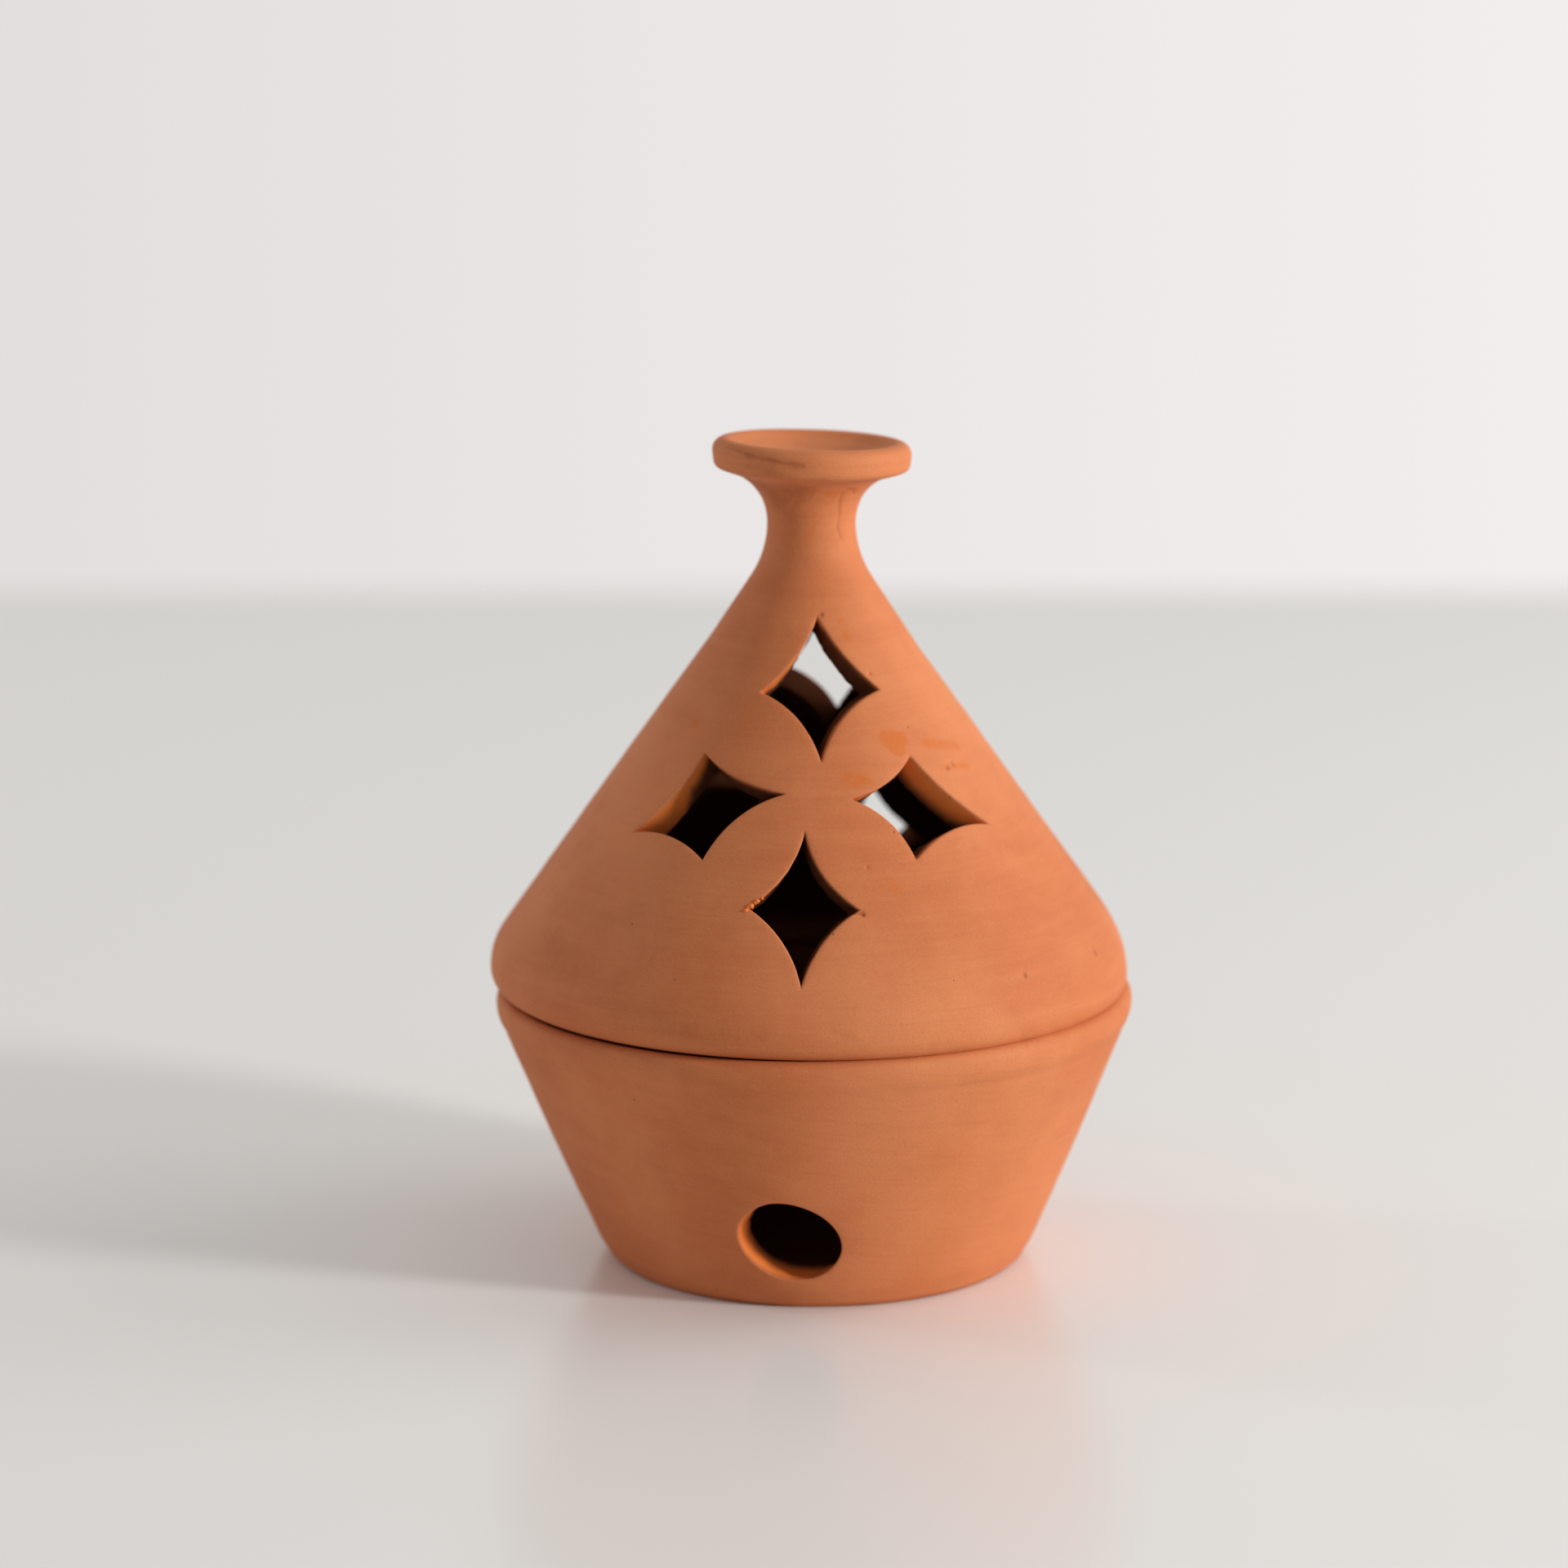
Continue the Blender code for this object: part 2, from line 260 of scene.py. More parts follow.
def lid_section():
    cone_turn = math.degrees(CONE_ANGLE)
    neck_turn = 180 - NECK_UPPER_TURN
    under_round = BELLY_HEIGHT - SEAT_HEIGHT
    tip_height = cone_point(0, LID_WALL)[1] + cone_point(0, LID_WALL)[0] / math.tan(CONE_ANGLE)
    tip_centre = (0.0, tip_height - HOLLOW_TIP_ROUND / math.sin(CONE_ANGLE))
    return Section(
        [
            *KNOB_DISH,
            *arc(KNOB_TOP, KNOB_TOP_ROUND, 130, 5),
            *arc(KNOB_FOOT, KNOB_FOOT_ROUND, -5, -80),
            *arc((NECK_RADIUS + NECK_UPPER_ROUND, NECK_HEIGHT), NECK_UPPER_ROUND, neck_turn, 180),
            *arc((NECK_RADIUS + NECK_LOWER_ROUND, NECK_HEIGHT), NECK_LOWER_ROUND, 180, 180 + cone_turn),
            (cone_radius(CONE_TOP_HEIGHT), CONE_TOP_HEIGHT),
            *arc((BELLY_RADIUS - SHOULDER_ROUND, BELLY_HEIGHT), SHOULDER_ROUND, cone_turn, 0),
            *arc((BELLY_RADIUS - under_round, BELLY_HEIGHT), under_round, 0, -90),
            (SEAT_RADIUS, SEAT_HEIGHT),
            (FLANGE_OUTER + 0.3, FLANGE_HEIGHT + 0.9),
            (FLANGE_OUTER - 0.6, FLANGE_HEIGHT),
            (FLANGE_INNER + 0.7, FLANGE_HEIGHT),
            (FLANGE_INNER, FLANGE_HEIGHT + 0.8),
            (FLANGE_INNER + 0.7, SEAT_HEIGHT),
            *arc(INNER_SHOULDER, INNER_SHOULDER_ROUND, -50, cone_turn),
            *arc(tip_centre, HOLLOW_TIP_ROUND, cone_turn, 90),
        ],
        softness=0.28,
    )


def bowl_section():
    slope = math.radians(INNER_SLOPE)
    fillet_height = FLOOR_HEIGHT + FLOOR_FILLET
    wall_end_height = fillet_height - FLOOR_FILLET * math.sin(slope)
    wall_end_radius = INNER_TOP[0] - (INNER_TOP[1] - wall_end_height) * math.tan(slope)
    floor_radius = wall_end_radius - FLOOR_FILLET * math.cos(slope)
    return Section(
        [
            (0.0, FLOOR_HEIGHT),
            *arc((floor_radius, fillet_height), FLOOR_FILLET, -90, -INNER_SLOPE),
            INNER_TOP,
            *arc((RIM_RADIUS - RIM_ROUND, RIM_HEIGHT - RIM_ROUND), RIM_ROUND, 150, 0),
            *reversed(BOWL_WALL + LIP),
            *arc((BASE_RADIUS - BASE_EDGE, BASE_EDGE), BASE_EDGE, 0, -90),
            (0.0, 0.0),
        ],
        softness=0.45,
    )


# ============ flat charts, only to lay out the triangles
class ConeChart:
    """The unrolled cone. Places run down its outer face (towards 1) or up its inner one (towards -1)."""

    def __init__(self, section, towards):
        depth = 0.0 if towards > 0 else LID_WALL
        self.towards = towards
        self.zero = section.place_near(*cone_point(KNOWN_SLANT, depth)) - towards * KNOWN_SLANT

    def slant(self, place):
        return (place - self.zero) * self.towards

    def place(self, slant):
        return self.zero + self.towards * slant

    def flat(self, azimuth, place):
        slant, turn = self.slant(place), (azimuth - MIDDLE) * math.sin(CONE_ANGLE)
        return np.stack([slant * np.sin(turn), -slant * np.cos(turn)], 1)

    def back(self, flat):
        turn = np.arctan2(flat[:, 0], -flat[:, 1])
        return MIDDLE + turn / math.sin(CONE_ANGLE), self.place(np.hypot(flat[:, 0], flat[:, 1]))

    def width(self, azimuth, place):
        """The length of this much azimuth at this place."""
        return azimuth * self.slant(place) * math.sin(CONE_ANGLE)


class BandChart:
    """A wall near enough to a cylinder of this radius."""

    def __init__(self, radius):
        self.radius = radius

    def flat(self, azimuth, place):
        return np.stack([(azimuth - MIDDLE) * self.radius, place + np.zeros(len(azimuth))], 1)

    def back(self, flat):
        return MIDDLE + flat[:, 0] / self.radius, flat[:, 1]

    def width(self, azimuth, place):
        return azimuth * self.radius


def lattice(low, high, step):
    """A triangular lattice of points over a rectangle."""
    points = []
    for i, y in enumerate(np.arange(low[1], high[1], step * math.sqrt(0.75))):
        across = np.arange(low[0] + (i % 2) * step / 2, high[0], step)
        points.append(np.stack([across, np.full(len(across), y)], 1))
    return np.concatenate(points)


def inside_outline(points, outline):
    """Which points are inside a closed outline, by the crossing rule."""
    inside = np.zeros(len(points), bool)
    x, y = points[:, 0], points[:, 1]
    for (ax, ay), (bx, by) in zip(outline, np.roll(outline, -1, axis=0)):
        crosses = (ay > y) != (by > y)
        if ay != by:
            inside ^= crosses & (x < ax + (y - ay) * (bx - ax) / (by - ay))
    return inside


def near_any(points, targets, reach):
    """Which points are nearer than this to one of the targets."""
    near = np.zeros(len(points), bool)
    low, high = targets.min(0) - reach, targets.max(0) + reach
    candidates = np.flatnonzero(((points > low) & (points < high)).all(1))
    for part in np.array_split(candidates, len(candidates) // 500 + 1):
        if len(part):
            gaps = np.linalg.norm(points[part, None] - targets[None], axis=2)
            near[part] = gaps.min(1) < reach
    return near


def ring_indices(count, start):
    return [(start + i, start + (i + 1) % count) for i in range(count)]


def sheet(chart, start, end, columns, step, holes, details=()):
    """Triangulates the surface between two places, leaving out the holes.

    columns are the numbers of facets on the two borders, holes are (azimuth, place) outlines and details
    are (azimuth, place, radius) discs that get finer triangles. Returns azimuths, places and triangles.
    """
    margin = step * SIDE_MARGIN
    sides = np.linspace(start, end, int(abs(end - start) / step) + 2)[1:-1]
    turns = [SEAM + math.tau * np.arange(n + 1) / n for n in columns]
    border = np.concatenate([
        np.stack([turns[0], np.full(columns[0] + 1, start)], 1),
        np.stack([np.full(len(sides), turns[0][-1]), sides], 1),
        np.stack([turns[1][::-1], np.full(columns[1] + 1, end)], 1),
        np.stack([np.full(len(sides), turns[0][0]), sides[::-1]], 1),
    ])
    loops = [border] + [np.stack(hole, 1) for hole in holes]
    flat_loops = [chart.flat(loop[:, 0], loop[:, 1]) for loop in loops]

    everything = np.concatenate(flat_loops)
    spots = lattice(everything.min(0), everything.max(0), step)
    for azimuth, place, radius in details:
        centre = chart.flat(np.array([azimuth]), place)
        disc = lattice(centre[0] - radius, centre[0] + radius, FINE_STEP)
        disc = disc[np.linalg.norm(disc - centre, axis=1) < radius]
        spots = spots[np.linalg.norm(spots - centre, axis=1) > radius + FINE_STEP]
        spots = np.concatenate([spots, disc])
    azimuths, places = chart.back(spots)
    low, high = min(start, end), max(start, end)
    from_side = np.minimum(azimuths - SEAM, SEAM + math.tau - azimuths)
    keep = (places > low + margin) & (places < high - margin) & (chart.width(from_side, places) > margin)
    for outline in flat_loops[1:]:
        keep &= ~near_any(spots, outline, step * HOLE_MARGIN)
        keep &= ~inside_outline(spots, outline)
    inner = np.stack([azimuths[keep], places[keep]], 1)

    known = np.concatenate(loops + [inner])
    flat = np.concatenate(flat_loops + [spots[keep]])
    edges, first = [], 0
    for loop in loops:
        edges += ring_indices(len(loop), first)
        first += len(loop)
    _, _, found, sources, _, _ = delaunay_2d_cdt([Vector(p) for p in flat], edges, [], 0, 1e-6)
    triangles = np.array([source[0] for source in sources])[np.array(found)]
    middles = flat[triangles].mean(1)
    azimuths, places = chart.back(middles)
    keep = (places > low) & (places < high) & (azimuths > SEAM) & (azimuths < SEAM + math.tau)
    for outline in flat_loops[1:]:
        keep &= ~inside_outline(middles, outline)
    return known[:, 0], known[:, 1], triangles[keep]


def rows(start, end, columns, step):
    """A plain grid of rings between two places. Returns azimuths, places and four-sided faces."""
    count = max(1, round(abs(end - start) / step))
    places = np.linspace(start, end, count + 1)
    turns = SEAM + math.tau * np.arange(columns + 1) / columns
    azimuth_grid, place_grid = np.meshgrid(turns, places)
    corner = np.arange(count)[:, None] * (columns + 1) + np.arange(columns)[None]
    faces = np.stack([corner, corner + 1, corner + columns + 2, corner + columns + 1], 2).reshape(-1, 4)
    return azimuth_grid.ravel(), place_grid.ravel(), faces


# ============ relief
def noise_at(points, size, seed):
    """Smooth noise from about -1 to 1 at each point, in lumps of about this size."""
    shift = Vector((seed * 17.3, seed * -9.1, seed * 5.7))
    return np.array([noise.noise(Vector(p) / size + shift) for p in points])


def swept(section, azimuth, place):
    radius, height = section.at(place)
    along, up = section.normal(place)
    spot = np.stack([radius * np.sin(azimuth), -radius * np.cos(azimuth), height], 1)
    normal = np.stack([along * np.sin(azimuth), -along * np.cos(azimuth), up], 1)
    return spot, normal


def throwing_marks(azimuth, place, seed):
    """Fine rings left by the fingers and the wheel, which come and go round the piece."""
    around = np.stack([0.7 * np.sin(azimuth), 0.7 * np.cos(azimuth)], 1)
    fine = noise_at(np.column_stack([around, place / 1.1]), 1.0, seed)
    broad = noise_at(np.column_stack([around * 0.7, place / 4.0]), 1.0, seed + 1)
    present = np.clip(0.5 + noise_at(np.column_stack([around * 1.4, place / 9.0]), 1.0, seed + 2), 0, 1)
    return FINE_RINGS * fine * present + BROAD_RINGS * broad


def gap_to_path(spots, path):
    """How far each spot is from a path of straight pieces, or from its only point."""
    if len(path) == 1:
        return np.linalg.norm(spots - path[0], axis=1)
    gaps = []
    for start, end in zip(path[:-1], path[1:]):
        along = end - start
        share = np.clip((spots - start) @ along / (along @ along), 0, 1)
        gaps.append(np.linalg.norm(spots - start - share[:, None] * along, axis=1))
    return np.min(gaps, axis=0)


def along_paths(spots, paths):
    """The sum of soft-edged strokes, each a (path, half width, height)."""
    total = np.zeros(len(spots))
    for path, half_width, height in paths:
        total += height * np.exp(-(gap_to_path(spots, path) / half_width) ** 2)
    return total


class Thrown:
    """A thrown piece's surface, from its section, the small flaws in it and the slow wobble of the whole.

    quiet is the (first place, last place) of the seat, which stays true.
    """

    def __init__(self, section, seed, quiet, flaws=()):
        self.section, self.seed, self.quiet, self.flaws = section, seed, quiet, flaws

    def points(self, azimuth, place):
        spot, normal = swept(self.section, azimuth, place)
        relief = throwing_marks(azimuth, place, self.seed)
        relief += DENT_HEIGHT * noise_at(spot, DENT_SIZE, self.seed + 3)
        relief += WOBBLE_HEIGHT * noise_at(spot, WOBBLE_SIZE, self.seed + 4)
        from_seat = np.maximum(self.quiet[0] - place, place - self.quiet[1])
        relief *= SEAT_RELIEF + (1 - SEAT_RELIEF) * np.clip(from_seat / SEAT_FADE, 0, 1)
        relief *= np.clip(np.hypot(spot[:, 0], spot[:, 1]) / AXIS_FADE, 0, 1)
        relief += along_paths(spot, self.flaws)
        return spot + normal * relief[:, None]


class Clay:
    """Collects a piece's vertices and faces, how freshly cut each vertex is, and how dark it is: the
    darkened inside, and painted shade deep in the cut walls.
    """

    def __init__(self):
        self.points, self.faces, self.cut, self.inside = [], [], [], []

    def add(self, points, faces, cut=0.0, inside=0.0):
        first = sum(len(p) for p in self.points)
        self.points.append(points)
        self.faces += [[first + i for i in face] for face in np.asarray(faces).tolist()]
        self.cut.append(np.zeros(len(points)) + cut)
        self.inside.append(np.zeros(len(points)) + inside)


# ============ openings
def bowed_outline(tips, bows):
    """A star's outline: a shallow arc between each two tips, bowed into the opening."""
    points = []
    for tip, after, bow in zip(tips, tips[1:] + tips[:1], bows):
        along = np.subtract(after, tip)
        inward = np.array([along[1], -along[0]]) * bow
        for share in np.arange(0, 1, 1 / math.ceil(np.hypot(*along) / OUTLINE_STEP)):
            points.append(tip + along * share + inward * 4 * share * (1 - share))
    return np.array(points)


def moved_out(outline, offsets):
    """A clockwise outline moved outwards by these distances, with mitred corners."""
    before, after = outline - np.roll(outline, 1, 0), np.roll(outline, -1, 0) - outline
    normals = []
    for edge in (before, after):
        edge = edge / np.linalg.norm(edge, axis=1)[:, None]
        normals.append(np.stack([-edge[:, 1], edge[:, 0]], 1))
    mean = normals[0] + normals[1]
    mean /= np.linalg.norm(mean, axis=1)[:, None]
    stretch = 1 / np.clip((mean * normals[0]).sum(1), 0.45, 1)
    return outline + mean * (stretch * offsets)[:, None]


class Star:
    """One opening through the cone, cut nearly square to the wall."""

    def __init__(self, number, group, outer, inner):
        self.outline = bowed_outline(*STARS[number])
        self.azimuth, self.slant, drifts = group
        self.drift = drifts[number]
        self.outer, self.inner = outer, inner

    def sides(self, offsets):
        """(azimuth, place) of the outline on the outer and on the inner face."""
        outline = moved_out(self.outline, offsets)
        return self.on_face(outline, self.outer), self.on_face(outline + self.drift, self.inner)

    def on_face(self, outline, chart):
        across, down = outline[:, 0], self.slant - outline[:, 1]
        azimuth = self.azimuth + np.arctan2(across, down) / math.sin(CONE_ANGLE)
        return azimuth, chart.place(np.hypot(across, down))


class Vent:
    """The draught hole through the bowl, cut with a knife held askew."""

    def __init__(self, section, outer_stretch, inner_stretch):
        count = int(math.tau * VENT_HALF_WIDTH / OUTLINE_STEP)
        turns = -math.tau * np.arange(count) / count
        from_flat = np.degrees(turns) % 360 - VENT_FLAT_AT
        flat_side = 1 - VENT_FLAT * np.exp(-(from_flat / VENT_FLAT_HALF) ** 2)
        self.outline = np.stack([VENT_HALF_WIDTH * np.cos(turns), VENT_HALF_HEIGHT * np.sin(turns)], 1)
        self.outline *= flat_side[:, None]
        self.section, self.outer_stretch, self.inner_stretch = section, outer_stretch, inner_stretch

    def meet(self, across, up, stretch):
        """Where the knife's lines, at these distances from its middle line, cross one face of the wall."""
        depth = np.zeros(len(across))
        for _ in range(12):
            x = VENT_CENTRE[0] + across + depth * math.tan(VENT_SKEW)
            z = VENT_CENTRE[1] + up + depth * math.tan(VENT_RISE)
            place = self.section.place_at_height(z, *stretch)
            radius = self.section.at(place)[0]
            depth = -np.sqrt(radius ** 2 - x ** 2) - VENT_DEPTH_ZERO
        return np.arctan2(x, -(depth + VENT_DEPTH_ZERO)), place

    def sides(self, offsets):
        across, up = moved_out(self.outline, offsets).T
        return self.meet(across, up, self.outer_stretch), self.meet(across, up, self.inner_stretch)


def unwrapped(azimuth):
    """The azimuth in the sheets' range, which starts at the seam."""
    return SEAM + (azimuth - SEAM) % math.tau


def cut_through(clay, surface, opening, wall, seed, unshaded):
    """Adds the cut wall of an opening with its rounded edges. Returns its outlines on the two faces.

    wall is the length of the cut; the last argument gives, for equal parts of the outline, the share of
    the cut left clear of painted shade.
    """
    count = len(opening.outline)
    parts = np.array(unshaded)[np.arange(count) * len(unshaded) // count]
    kernel = np.ones(2 * UNSHADED_BLUR + 1) / (2 * UNSHADED_BLUR + 1)
    unshaded_along = np.convolve(np.pad(parts, UNSHADED_BLUR, "wrap"), kernel, "valid")
    turns = np.radians((0, 30, 60, 90))
    corner = [(EDGE_ROUND * (1 - math.sin(t)), EDGE_ROUND * (1 - math.cos(t))) for t in turns]
    middle = [(0.0, d) for d in np.linspace(EDGE_ROUND, wall - EDGE_ROUND, 9)[1:-1]]
    rings = corner + middle + [(offset, wall - depth) for offset, depth in reversed(corner)]
    across = np.column_stack([opening.outline, np.zeros(count)])
    layers, sides = [], []
    for offset, depth in rings:
        share = depth / wall
        drag = KNIFE_DRAG * noise_at(across + [0, 0, depth * 0.4], 1.7, seed) * math.sin(math.pi * share)
        ragged = RAGGED_EDGE * noise_at(across, 1.1, seed + 1) * np.clip(share * 2.2 - 1.2, 0, 1)
        outer, inner = opening.sides(offset + drag + ragged)
        outer = (unwrapped(outer[0]), outer[1])
        inner = (unwrapped(inner[0]), inner[1])
        layers.append(surface.points(*outer) * (1 - share) + surface.points(*inner) * share)
        sides.append((outer, inner))
    around = np.array(ring_indices(count, 0))
    faces = [
        np.stack([around[:, 0], around[:, 1], around[:, 1] + count, around[:, 0] + count], 1) + k * count
        for k in range(len(rings) - 1)
    ]
    depths = np.repeat([depth for _, depth in rings], count)
    fresh = np.clip(depths / EDGE_ROUND - 1, 0, 1)
    # Painted shade deep in the cut wall, carried by the inside mark.
    within = np.clip((depths / wall - np.tile(unshaded_along, len(rings))) / SHADE_FADE, 0, 1)
    within *= np.clip(depths / EDGE_ROUND, 0, 1)
    clay.add(np.concatenate(layers), np.concatenate(faces), cut=fresh, inside=within)
    return sides[0][0], sides[-1][1]


# ============ pieces
def make_piece(name, clay, axis_x, warp, stains_and_shade):
    """Welds the clay into one closed mesh, bends it a little out of true and puts it on its axis."""
    spots = np.concatenate(clay.points)
    marks = {"cut": np.concatenate(clay.cut), "inside": np.concatenate(clay.inside)}
    for mark, paths in stains_and_shade.items():
        marks[mark] = along_paths(spots, paths)
    points = warp(spots)
    points[:, 0] += axis_x
    mesh = bpy.data.meshes.new(name)
    mesh.from_pydata((points * MM).tolist(), [], clay.faces)
    for mark, values in marks.items():
        mesh.attributes.new(mark, "FLOAT", "POINT").data.foreach_set("value", values)
    form = bmesh.new()
    form.from_mesh(mesh)
    bmesh.ops.remove_doubles(form, verts=form.verts, dist=2e-6)
    bmesh.ops.recalc_face_normals(form, faces=form.faces)
    form.to_mesh(mesh)
    form.free()
    mesh.shade_smooth()
    piece = bpy.data.objects.new(name, mesh)
    bpy.context.scene.collection.objects.link(piece)
    return piece


def add_rows(clay, surface, start, end, columns, step, inside=(0.0, 0.0)):
    """A plain stretch. inside is how much it counts as inside at its start and at its end."""
    azimuths, places, faces = rows(start, end, columns, step)
    clay.add(surface.points(azimuths, places), faces, inside=np.interp(places, (start, end), inside))


def add_sheet(clay, surface, *layout, inside=0.0):
    azimuths, places, triangles = sheet(*layout)
    clay.add(surface.points(azimuths, places), triangles, inside=inside)


def heel_drop(points):
    """How far the belly's under-edge hangs down: not at -X, most at +X, and only outside the seat."""
    x, y, z = points.T
    radius = np.hypot(x, y)
    around = ((1 + x / np.maximum(radius, 1.0)) / 2) ** 1.5
    outside = np.interp(radius, HEEL_BAND, (0, 1))
    below = np.interp(z, (BELLY_HEIGHT, HEEL_TOP), (1, 0))
    return HEEL_DROP * around * outside * below * below * (3 - 2 * below)


def lid_warp(points):
    """The seat follows the bowl's tilted rim, the lid leans and the knob droops on one side."""
    x, y, z = points.T.copy()
    azimuth = np.arctan2(x, -y)
    seat_share = np.interp(z, TILT_HEIGHTS, (1, 0))
    knob_share = np.interp(z, KNOB_SAG_HEIGHTS, (0, 1))
    outwards = np.clip(np.hypot(x, y) / KNOB_TOP[0], 0, 1)
    points[:, 2] -= heel_drop(points)
    points[:, 2] += FOOT_STRETCH + RIM_RISE * seat_share * x / RIM_RADIUS
    points[:, 0] += np.interp(z, (BELLY_HEIGHT, KNOB_TOP[1]), LID_LEAN)
    points[:, 2] -= KNOB_SAG * knob_share * (1 + np.cos(azimuth - KNOB_SAG_AZIMUTH)) * outwards
    return points


def fine_discs(section, high, low, strokes):
    """Discs round the strokes, as (azimuth, place, radius)."""
    discs = []
    for corners, half_width, _ in strokes:
        degrees, heights = np.array(corners, float).T
        azimuths, places = np.radians(degrees), section.place_at_height(heights, high, low)
        reach = np.hypot(np.ptp(azimuths) * section.at(places[0])[0], np.ptp(places)) / 2
        discs.append((azimuths.mean(), places.mean(), reach + 2.5 * half_width))
    return discs


def outside_paths(section, high, low, strokes):
    """Turns strokes of (degrees, height) points with a half width and a strength into strokes in space.

    high and low are the places between which the outside of the piece only falls.
    """
    paths = []
    for corners, half_width, strength in strokes:
        degrees, heights = np.array(corners, float).T
        places = section.place_at_height(heights, high, low)
        paths.append((swept(section, np.radians(degrees), places)[0], half_width, strength))
    return paths


NECK_FOLD = ((31.0, 123.0), (33.0, 121.0), (37.0, 119.0), (36.0, 117.0), (41.0, 115.0))
NECK_CREASE = ((33.0, 123.6), (41.0, 123.3), (48.0, 122.4))
KNOB_FOLD = ((-60.0, 129.7), (-40.0, 129.2), (-22.0, 128.6), (-4.0, 128.2))
KNOB_CREASE = ((-35.0, 128.5), (-18.0, 127.8), (-8.0, 127.5))
# Pores and nicks in the cone, then folds in the neck and the knob: points (degrees, height), half width and
# height above the surface.
CONE_FLAWS = (
    (((6.8, 104.3),), 0.4, -0.25),
    (((30.1, 95.7),), 0.35, -0.2),
    (((42.5, 53.0),), 0.35, -0.25),
    (((48.8, 81.5),), 0.4, -0.25),
    (((52.0, 81.9),), 0.45, -0.2),
    (((13.4, 69.6),), 0.3, -0.15),
    (((65.7, 52.7),), 0.35, -0.2),
    (((3.6, 48.3), (6.4, 47.6)), 0.4, -0.16),
    (((4.4, 47.5), (5.0, 47.4)), 0.4, 0.14),
    (((7.0, 47.9), (8.2, 47.7)), 0.5, 0.18),
    (((9.0, 63.75), (11.0, 63.35)), 0.3, -0.45),
)
NECK_FLAWS = (
    (NECK_FOLD, 0.3, -0.1),
    (NECK_CREASE, 0.3, -0.1),
    (KNOB_FOLD, 0.35, -0.16),
    (KNOB_CREASE, 0.3, -0.12),
)
# Where the slip on the lid is more orange, and where the lid is darker in patches and in painted shade:
# points, half width and strength.
LID_ORANGE = (
    (((28.5, 86.6), (34.0, 86.2)), 1.9, 0.75),
    (((31.0, 84.9),), 1.1, 0.7),
    (((44.0, 85.3), (59.0, 83.8)), 1.3, 0.6),
    (((47.0, 81.7), (60.0, 80.9)), 0.9, 0.5),
    (((11.5, 81.6), (17.0, 81.2)), 1.5, 0.6),
    (((21.0, 103.0), (23.0, 100.5)), 1.2, 0.45),
    (((-52.0, 87.6), (-49.0, 87.9)), 1.4, 0.4),
    (((18.0, 68.0), (20.0, 66.0)), 1.3, 0.35),
    (((-10.0, 115.0), (4.0, 119.0)), 2.2, 0.35),
    (((5.0, 123.0), (50.0, 123.5)), 1.6, 0.4),
)
# Darker patches low on the cone's left and front; then painted shade on the knob's front rim, under the
# knob and low on the neck's left side, and in the pores and folds.
LID_DARKER_AND_SHADE = (
    (((-60.0, 56.5), (-53.0, 54.0)), 2.6, 0.3),
    (((-47.0, 52.5), (-41.0, 51.5)), 2.6, 0.25),
    (((-31.0, 56.0), (-25.0, 55.0)), 2.2, 0.22),
    (((-24.0, 47.5), (-8.0, 47.5)), 1.7, 0.3),
    (((-40.0, 127.4), (5.0, 126.9)), 3.4, 0.27),
    (((-70.0, 124.0), (-12.0, 123.3)), 3.2, 0.55),
    (((-50.0, 120.0), (-25.0, 118.0)), 2.6, 0.3),
    (((48.8, 81.5),), 0.5, 0.8),
    (((52.0, 81.9),), 0.5, 0.7),
    (((42.5, 53.0),), 0.5, 0.8),
    (((65.7, 52.7),), 0.45, 0.9),
    (((6.8, 104.3),), 0.5, 0.7),
    (NECK_FOLD, 0.35, 0.6),
    (NECK_CREASE, 0.35, 0.6),
    (KNOB_FOLD, 0.35, 0.5),
)
# Crumbs of clay pushed up by the knife: degrees, height, size.
CRUMBS = (
    (-13.9, 63.9, 0.36),
    (-13.5, 64.35, 0.3),
    (-12.9, 64.5, 0.42),
    (-12.1, 64.95, 0.28),
    (-11.7, 65.15, 0.36),
    (-10.7, 65.55, 0.2),
)


def add_crumbs(clay, section, high, low):
    """Small lumps that stand half out of the surface."""
    ball = bmesh.new()
    bmesh.ops.create_icosphere(ball, subdivisions=2, radius=1.0)
    shape = np.array([v.co[:] for v in ball.verts])
    faces = [[v.index for v in f.verts] for f in ball.faces]
    ball.free()
    for degrees, height, size in CRUMBS:
        place = section.place_at_height(height, high, low)
        centre = swept(section, np.radians([degrees]), np.array([place]))[0][0]
        lump = shape * (1 + 0.45 * noise_at(shape * 1.3 + centre, 1.0, CRUMB_SEED))[:, None]
        clay.add(centre + lump * size, faces, cut=1.0)


